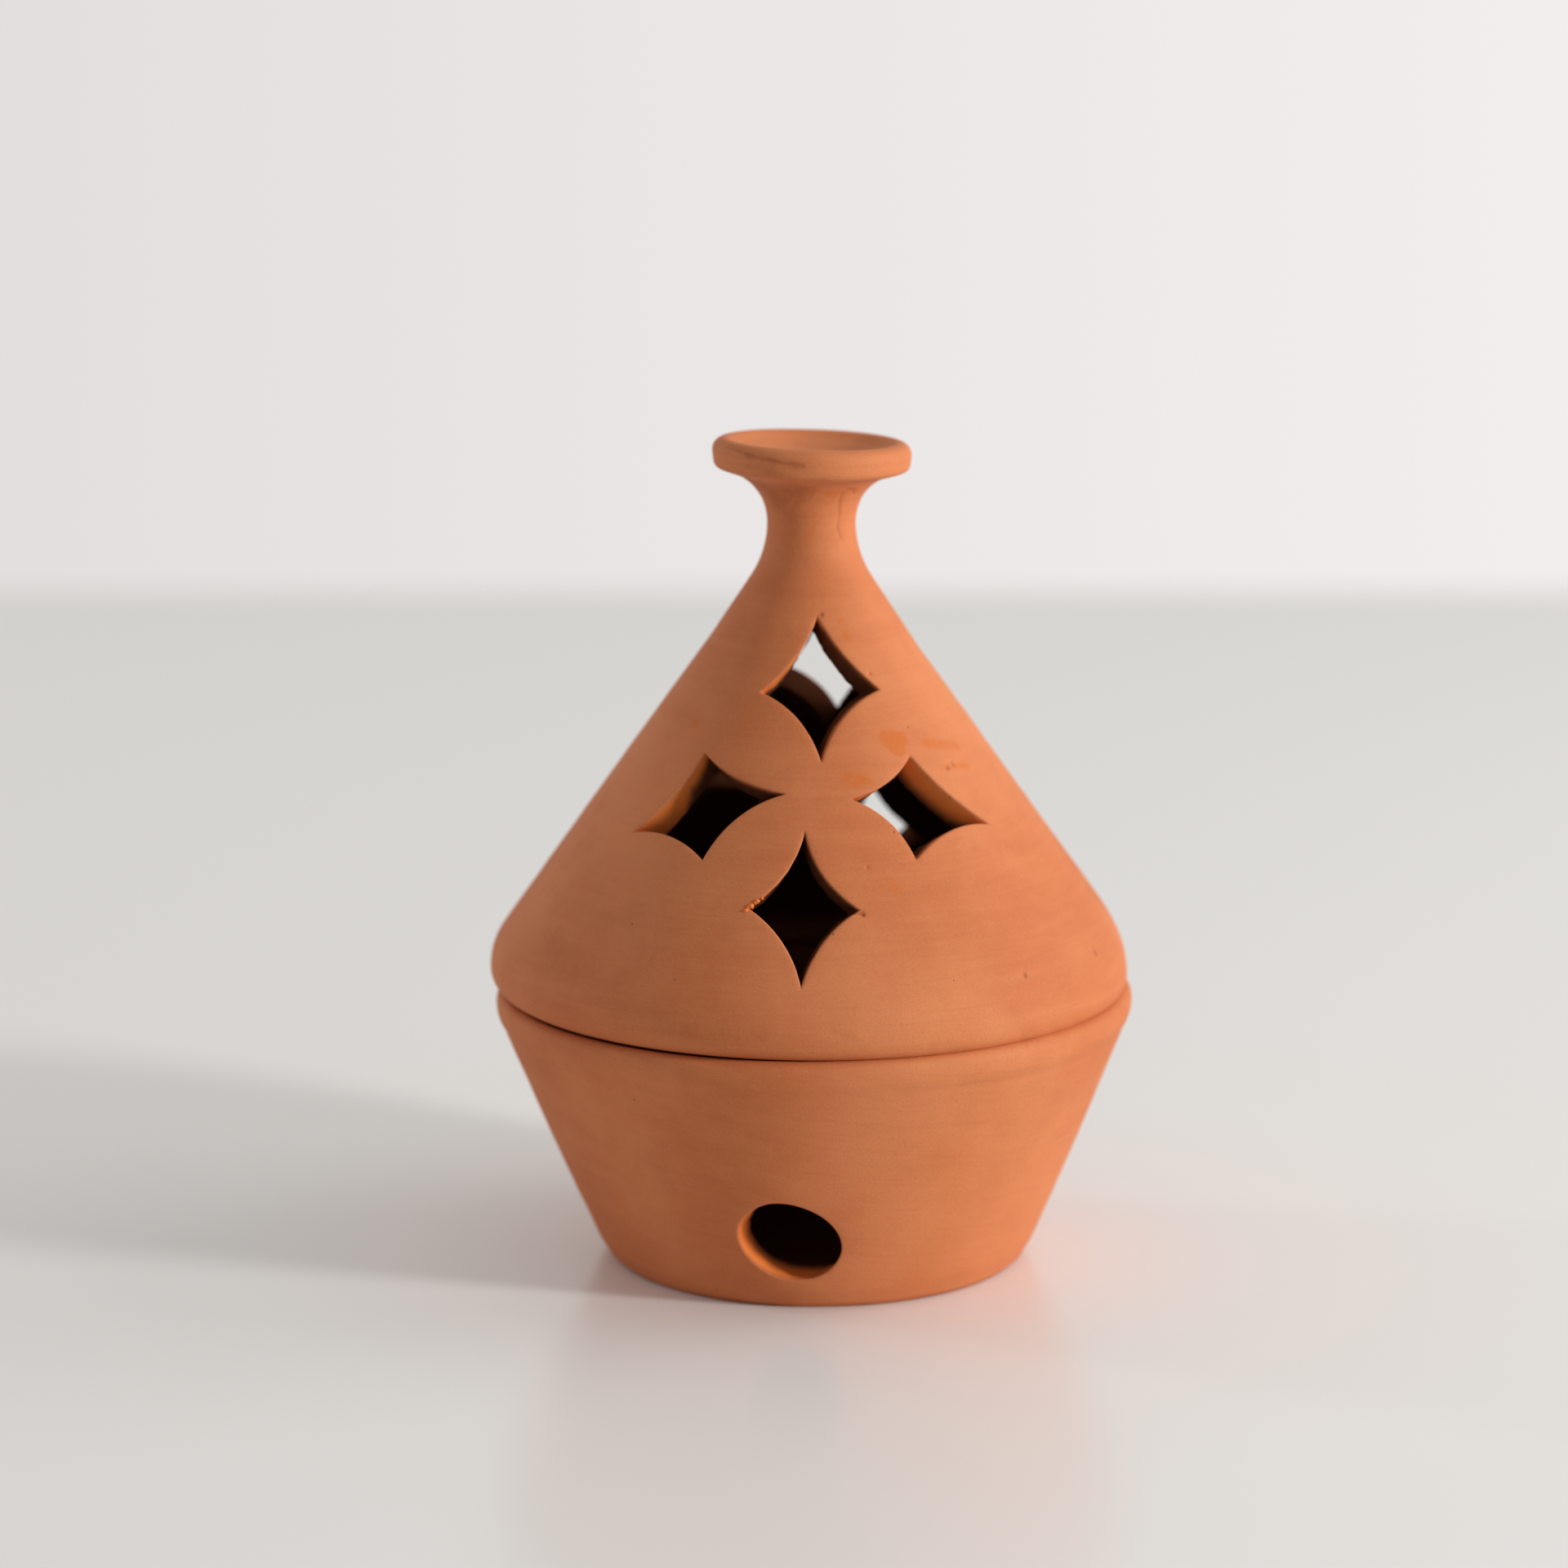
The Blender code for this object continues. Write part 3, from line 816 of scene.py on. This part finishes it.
def make_lid():
    section = lid_section()
    outer, inner = ConeChart(section, 1), ConeChart(section, -1)
    knob_top = section.place_near(KNOB_TOP[0], KNOB_TOP[1] + KNOB_TOP_ROUND)
    belly = section.place_near(BELLY_RADIUS, BELLY_HEIGHT)
    seat = section.place_near(SEAT_RADIUS, SEAT_HEIGHT)
    flaws = outside_paths(section, knob_top, belly, CONE_FLAWS + NECK_FLAWS)
    # Colour marks: orange slip, and darker patches with painted shade.
    stains_and_shade = {
        "orange": outside_paths(section, knob_top, belly, LID_ORANGE),
        "dark": outside_paths(section, knob_top, belly, LID_DARKER_AND_SHADE),
    }
    surface = Thrown(section, LID_SEED, (seat - 4, seat + 9), flaws)
    clay = Clay()
    outlines = []
    for group_number, group in enumerate(STAR_GROUPS):
        for number in range(len(STARS)):
            star = Star(number, group, outer, inner)
            seed = STAR_SEED + number + 10 * group_number
            # How much of each star's cut wall is left clear of painted shade.
            unshaded = UNSHADED_BACK if group_number else UNSHADED_FRONT[number]
            outlines.append(cut_through(clay, surface, star, LID_WALL, seed, unshaded))
    outer_start, outer_end = [outer.place(slant) for slant in OUTER_SLANTS]
    inner_start, inner_end = [inner.place(slant) for slant in INNER_SLANTS]
    add_rows(clay, surface, 0, outer_start, NECK_COLUMNS, NECK_STEP)
    add_sheet(clay, surface, outer, outer_start, outer_end, (NECK_COLUMNS, COLUMNS), OUTER_STEP,
              [outline[0] for outline in outlines], fine_discs(section, knob_top, belly, CONE_FLAWS))
    add_rows(clay, surface, outer_end, seat, COLUMNS, EDGE_STEP)
    add_rows(clay, surface, seat, inner_start, COLUMNS, EDGE_STEP, inside=(0.0, 1.0))
    add_sheet(clay, surface, inner, inner_start, inner_end, (COLUMNS, NECK_COLUMNS), INNER_STEP,
              [outline[1] for outline in outlines], inside=1.0)
    add_rows(clay, surface, inner_end, section.length, NECK_COLUMNS, INNER_STEP, inside=(1.0, 1.0))
    add_crumbs(clay, section, knob_top, belly)
    return make_piece("lid", clay, LID_AXIS, lid_warp, stains_and_shade)


def bowl_warp(points):
    """The bowl leans and its rim is tilted, both more the higher up, and its foot is stretched."""
    share = points[:, 2] / RIM_HEIGHT
    foot = np.clip(points[:, 2] / FOOT_HEIGHT, 0, 1)
    points[:, 2] += FOOT_STRETCH * foot + RIM_RISE * share * points[:, 0] / RIM_RADIUS
    points[:, 0] += BOWL_LEAN * share
    return points


def make_bowl():
    section = bowl_section()
    rim_top = section.place_near(RIM_RADIUS - RIM_ROUND, RIM_HEIGHT)
    foot = section.place_near(BASE_RADIUS, BASE_EDGE)
    surface = Thrown(section, BOWL_SEED, (rim_top - 5, rim_top + 1.5))
    # The inside is darkened, fading out just under the rim.
    darkening_fades, darkening_ends = rim_top - 3, rim_top - 1
    inner_wall = (VENT_SHEET_START, rim_top - 2)
    outer_wall = (rim_top + 2, foot)
    clay = Clay()
    vent = Vent(section, outer_wall, inner_wall)
    outer_outline, inner_outline = cut_through(clay, surface, vent, VENT_WALL, VENT_SEED, UNSHADED_VENT)
    inner_top = section.place_at_height(VENT_SHEET_TOP, *inner_wall)
    outer_top = section.place_at_height(VENT_SHEET_TOP, *outer_wall)
    inner_chart, outer_chart = [BandChart(radius) for radius in VENT_SHEET_RADII]
    columns = (COLUMNS, COLUMNS)
    add_rows(clay, surface, 0, VENT_SHEET_START, COLUMNS, FLOOR_STEP, inside=(1.0, 1.0))
    add_sheet(clay, surface, inner_chart, VENT_SHEET_START, inner_top, columns, INNER_STEP, [inner_outline],
              inside=1.0)
    add_rows(clay, surface, inner_top, darkening_fades, COLUMNS, BOWL_STEP, inside=(1.0, 0.4))
    add_rows(clay, surface, darkening_fades, darkening_ends, COLUMNS, EDGE_STEP, inside=(0.4, 0.0))
    add_rows(clay, surface, darkening_ends, outer_top, COLUMNS, EDGE_STEP)
    add_sheet(clay, surface, outer_chart, outer_top, foot, columns, OUTER_STEP, [outer_outline])
    add_rows(clay, surface, foot, section.length, COLUMNS, FOOT_STEP)
    return make_piece("bowl", clay, 0.0, bowl_warp, {})


# ============ materials, with colours in linear light
CLAY_RED = (0.53, 0.149, 0.047, 1)
CLAY_PALE = (0.62, 0.204, 0.074, 1)
# The next colour is the clay's darker tone, and also the painted shade at the lid's dark marks.
DARK_CLAY_AND_SHADE = (0.36, 0.088, 0.027, 1)
CLAY_ORANGE = (0.57, 0.135, 0.02, 1)
CLAY_GRAIN = (0.72, 0.33, 0.165, 1)
# Painted shade in pores.
PORE_SHADE = (0.16, 0.045, 0.02, 1)
CLAY_CUT = (0.86, 0.215, 0.037, 1)
# Near black: the darkened inside, and the painted shade deep in the cut walls.
DARK_INSIDE_AND_SHADE = (0.07, 0.026, 0.016, 1)


class Nodes:
    """Short forms for building a material's node tree."""

    def __init__(self, name):
        self.material = bpy.data.materials.new(name)
        self.material.use_nodes = True
        self.tree = self.material.node_tree
        self.shader = self.tree.nodes["Principled BSDF"]

    def new(self, kind, **inputs):
        node = self.tree.nodes.new(kind)
        for key, value in inputs.items():
            self.feed(node.inputs[key.replace("_", " ")], value)
        return node

    def feed(self, socket, value):
        if isinstance(value, bpy.types.NodeSocket):
            self.tree.links.new(value, socket)
        else:
            socket.default_value = value

    def math(self, operation, first, second=0.0):
        node = self.tree.nodes.new("ShaderNodeMath")
        node.operation = operation
        self.feed(node.inputs[0], first)
        self.feed(node.inputs[1], second)
        return node.outputs[0]

    def noise(self, place, scale, detail=3.0, roughness=0.55, distortion=0.0):
        node = self.new("ShaderNodeTexNoise", Vector=place, Scale=scale, Detail=detail, Roughness=roughness,
                        Distortion=distortion)
        return node.outputs["Fac"]

    def stretched(self, place, factors, turn=0.0):
        """Coordinates turned about Y, then scaled by different amounts along X, Y and Z."""
        turned = self.new("ShaderNodeMapping", Vector=place, Rotation=(0, turn, 0)).outputs[0]
        return self.new("ShaderNodeMapping", Vector=turned, Scale=factors).outputs[0]

    def pores(self, place, scale, radius, rarity):
        """1 in small scattered dots, 0 elsewhere. rarity is the share of cells without a dot."""
        cells = self.new("ShaderNodeTexVoronoi", Vector=place, Scale=scale)
        chosen = self.math("GREATER_THAN", cells.outputs["Color"], rarity)
        near = self.math("SUBTRACT", 1.0, self.ramp(cells.outputs["Distance"], radius * 0.5, radius))
        return self.math("MULTIPLY", near, chosen)

    def ramp(self, value, low, high):
        """0 below low, 1 above high and smooth between."""
        node = self.new("ShaderNodeMapRange", Value=value)
        node.interpolation_type = "SMOOTHSTEP"
        node.inputs["From Min"].default_value = low
        node.inputs["From Max"].default_value = high
        return node.outputs[0]

    def mix(self, share, first, second):
        node = self.tree.nodes.new("ShaderNodeMix")
        node.data_type = "RGBA"
        self.feed(node.inputs[0], share)
        self.feed(node.inputs[6], first)
        self.feed(node.inputs[7], second)
        return node.outputs[2]

    def tinted(self, colour, mask, strength, tint):
        return self.mix(self.math("MULTIPLY", mask, strength), colour, tint)

    def mark(self, name):
        node = self.tree.nodes.new("ShaderNodeAttribute")
        node.attribute_name = name
        return node.outputs["Fac"]

    def bump(self, height, distance, below=None):
        node = self.new("ShaderNodeBump", Height=height, Distance=distance)
        if below is not None:
            self.feed(node.inputs["Normal"], below)
        return node.outputs[0]


def terracotta(name, streak_turn, streak_stretch):
    """Fired clay: mottled and streaked by the slip, with sand, fresher cut edges, darker patches and a
    darkened inside, and with painted shade in the pores, deep in the cut walls and at most of the lid's
    dark marks.

    The streaks run across the piece, turned by streak_turn about the front-to-back direction.
    """
    n = Nodes(name)
    place = n.tree.nodes.new("ShaderNodeTexCoord").outputs["Object"]
    clouds = n.ramp(n.noise(place, 26, 5, 0.6), 0.36, 0.66)
    colour = n.mix(clouds, CLAY_RED, CLAY_PALE)
    blotches = n.ramp(n.noise(place, 95, 4, 0.6, 0.4), 0.52, 0.7)
    colour = n.tinted(colour, blotches, 0.13, DARK_CLAY_AND_SHADE)
    broad = n.stretched(place, (1, 1, streak_stretch), streak_turn)
    streaks = n.ramp(n.noise(broad, 42, 4, 0.62), 0.42, 0.72)
    colour = n.tinted(colour, streaks, 0.42, CLAY_PALE)
    narrow = n.stretched(place, (1, 1, 2.5 * streak_stretch), streak_turn / 2)
    rings = n.ramp(n.noise(narrow, 60, 3, 0.6), 0.48, 0.7)
    colour = n.tinted(colour, rings, 0.09, DARK_CLAY_AND_SHADE)

    ragged = n.math("MULTIPLY", n.math("SUBTRACT", n.noise(place, 420, 4, 0.65), 0.5), 0.9)
    orange = n.ramp(n.math("ADD", n.mark("orange"), ragged), 0.2, 0.65)
    colour = n.tinted(colour, orange, 0.85, CLAY_ORANGE)
    # The dark mark: darker patches, and painted shade at the knob, the neck, the pores and the folds.
    darker_and_shade = n.ramp(n.math("ADD", n.mark("dark"), ragged), 0.15, 0.7)
    colour = n.tinted(colour, darker_and_shade, 0.65, DARK_CLAY_AND_SHADE)

    pale_sand = n.ramp(n.noise(place, 2400, 2, 0.6), 0.55, 0.75)
    colour = n.tinted(colour, pale_sand, 0.17, CLAY_GRAIN)
    dark_sand = n.ramp(n.noise(place, 3400, 2, 0.6), 0.56, 0.74)
    colour = n.tinted(colour, dark_sand, 0.35, DARK_CLAY_AND_SHADE)
    # Pores: tiny dents with painted shade in them.
    pores = n.pores(place, 330, 0.075, 0.8)
    colour = n.tinted(colour, pores, 0.6, PORE_SHADE)

    colour = n.tinted(colour, n.mark("cut"), 0.92, CLAY_CUT)
    # The inside mark: the darkened inside, and painted shade deep in the cut walls.
    colour = n.tinted(colour, n.mark("inside"), 0.95, DARK_INSIDE_AND_SHADE)
    n.feed(n.shader.inputs["Base Color"], colour)
    n.feed(n.shader.inputs["Roughness"], 0.72)
    outside = n.math("SUBTRACT", 1.0, n.mark("inside"))
    n.feed(n.shader.inputs["Specular IOR Level"], n.math("MULTIPLY", outside, 0.3))

    grit = n.bump(n.noise(place, 2100, 3, 0.65), 0.05 * MM)
    ripples = n.bump(n.noise(n.stretched(place, (1, 1, 18)), 90, 4, 0.65), 0.07 * MM, grit)
    holes = n.bump(n.math("SUBTRACT", 1.0, pores), 0.08 * MM, ripples)
    n.feed(n.shader.inputs["Normal"], holes)
    return n.material


def table_finish():
    n = Nodes("table_finish")
    n.feed(n.shader.inputs["Base Color"], (0.84, 0.828, 0.806, 1))
    n.feed(n.shader.inputs["Roughness"], 0.25)
    n.feed(n.shader.inputs["Specular IOR Level"], 0.4)
    return n.material


# ============ stage, light and camera
TABLE_HALF = 0.633
TABLE_THICK = 0.03
TABLE_CORNER = 0.08
TABLE_EDGE = 0.006
CAMERA_PLACE = (-0.00515, -0.7771, 0.23873)
CAMERA_PITCH = math.radians(11.84)
CAMERA_LENS = 115.5
CAMERA_FSTOP = 8.5
FOCUS_CENTRE = (0, 0, 0.055)
FOCUS_NEARER = 0.054  # how far the focus is from there towards the camera, as a share
LIGHT_AIM = Vector((0, 0, 0.06))
WALL_COLOURS = ((0.765, 0.735, 0.728), (0.885, 0.855, 0.848))  # at the left and at the right of the picture, brighter to the right as painted light
MIRRORED_WALL = (0.78, 0.765, 0.75)
ROOM_LIGHT = ((0.34, 0.337, 0.334), (0.61, 0.602, 0.592))  # at its weakest and at its strongest
ROOM_LIGHT_TOWARDS = (0.45, 0.89, 0.0)  # where it is strongest


def make_table():
    """A broad, pale table top with rounded corners and edges."""
    def is_upright(edge):
        return abs(edge.verts[0].co.z - edge.verts[1].co.z) > TABLE_THICK / 2

    form = bmesh.new()
    bmesh.ops.create_cube(form, size=1.0)
    bmesh.ops.scale(form, verts=form.verts, vec=(TABLE_HALF * 2, TABLE_HALF * 2, TABLE_THICK))
    upright = [edge for edge in form.edges if is_upright(edge)]
    bmesh.ops.bevel(form, geom=upright, offset=TABLE_CORNER, segments=12, profile=0.5, affect="EDGES")
    level = [edge for edge in form.edges if not is_upright(edge)]
    bmesh.ops.bevel(form, geom=level, offset=TABLE_EDGE, segments=6, profile=0.5, affect="EDGES")
    mesh = bpy.data.meshes.new("table")
    form.to_mesh(mesh)
    form.free()
    table = bpy.data.objects.new("table", mesh)
    table.location.z = -TABLE_THICK / 2
    mesh.materials.append(table_finish())
    bpy.context.scene.collection.objects.link(table)
    return table


def add_light(name, azimuth, elevation, distance, size, power, colour):
    """A soft square light that shines on the object from this azimuth and elevation."""
    data = bpy.data.lights.new(name, "AREA")
    data.shape = "SQUARE"
    data.size = size
    data.energy = power
    data.color = colour
    light = bpy.data.objects.new(name, data)
    a, e = math.radians(azimuth), math.radians(elevation)
    direction = Vector((math.sin(a) * math.cos(e), -math.cos(a) * math.cos(e), math.sin(e)))
    light.location = LIGHT_AIM + direction * distance
    light.rotation_euler = direction.to_track_quat("Z", "Y").to_euler()
    bpy.context.scene.collection.objects.link(light)


def make_world():
    """A pale wall seen by the camera, with painted light that makes it brighter to the right, and soft room
    light, strongest from behind and the right.
    """
    world = bpy.data.worlds.new("studio")
    world.use_nodes = True
    tree = world.node_tree
    position = tree.nodes.new("ShaderNodeTexCoord")

    def gradient(socket, towards, low, high, dim, bright):
        """A background whose colour goes from dim to bright along a direction."""
        share = tree.nodes.new("ShaderNodeMapRange")
        share.inputs["From Min"].default_value = low
        share.inputs["From Max"].default_value = high
        along = tree.nodes.new("ShaderNodeVectorMath")
        along.operation = "DOT_PRODUCT"
        along.inputs[1].default_value = towards
        tree.links.new(position.outputs[socket], along.inputs[0])
        tree.links.new(along.outputs["Value"], share.inputs["Value"])
        blend = tree.nodes.new("ShaderNodeMix")
        blend.data_type = "RGBA"
        blend.inputs[6].default_value = (*dim, 1)
        blend.inputs[7].default_value = (*bright, 1)
        tree.links.new(share.outputs[0], blend.inputs[0])
        glow = tree.nodes.new("ShaderNodeBackground")
        tree.links.new(blend.outputs[2], glow.inputs["Color"])
        return glow.outputs[0]

    mirrored = tree.nodes.new("ShaderNodeBackground")
    mirrored.inputs["Color"].default_value = (*MIRRORED_WALL, 1)
    path = tree.nodes.new("ShaderNodeLightPath")
    unseen = tree.nodes.new("ShaderNodeMixShader")
    tree.links.new(path.outputs["Is Glossy Ray"], unseen.inputs[0])
    tree.links.new(gradient("Generated", ROOM_LIGHT_TOWARDS, -1, 1, *ROOM_LIGHT), unseen.inputs[1])
    tree.links.new(mirrored.outputs[0], unseen.inputs[2])
    mix = tree.nodes.new("ShaderNodeMixShader")
    tree.links.new(path.outputs["Is Camera Ray"], mix.inputs[0])
    tree.links.new(unseen.outputs[0], mix.inputs[1])
    tree.links.new(gradient("Window", (1, 0, 0), 0, 1, *WALL_COLOURS), mix.inputs[2])
    tree.links.new(mix.outputs[0], tree.nodes["World Output"].inputs["Surface"])
    bpy.context.scene.world = world


def make_camera():
    data = bpy.data.cameras.new("camera")
    data.lens = CAMERA_LENS
    data.sensor_width = 36.0
    data.clip_end = 20.0
    focus = bpy.data.objects.new("focus", None)
    focus.location = FOCUS_CENTRE
    bpy.context.scene.collection.objects.link(focus)
    data.dof.use_dof = True
    data.dof.focus_object = focus
    data.dof.aperture_fstop = CAMERA_FSTOP
    camera = bpy.data.objects.new("camera", data)
    camera.location = CAMERA_PLACE
    camera.rotation_euler = (math.pi / 2 - CAMERA_PITCH, 0, 0)
    bpy.context.scene.collection.objects.link(camera)
    # The near side stays sharp wherever the camera stands.
    towards = focus.constraints.new("COPY_LOCATION")
    towards.target = camera
    towards.influence = FOCUS_NEARER
    bpy.context.scene.camera = camera


# ============ the scene
lid = make_lid()
bowl = make_bowl()
lid.data.materials.append(terracotta("lid_terracotta", 0.0, 12))
bowl.data.materials.append(terracotta("bowl_terracotta", math.radians(-16), 7))
for piece, node, body, slot in (
    (lid, "conical_lid", "lid", "lid_clay"),
    (bowl, "base_bowl", "base", "bowl_clay"),
):
    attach(piece, body)
    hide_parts(node)
make_table()
make_world()
add_light("key", azimuth=66, elevation=16, distance=1.5, size=0.2, power=15.5, colour=(1.0, 1.0, 1.0))
add_light("window", azimuth=100, elevation=25, distance=1.4, size=0.9, power=5.8, colour=(1.0, 0.99, 0.98))
add_light("fill", azimuth=-109, elevation=14, distance=1.5, size=0.2, power=3.0, colour=(1.0, 0.97, 0.94))
make_camera()
bpy.context.scene.view_settings.view_transform = "Standard"
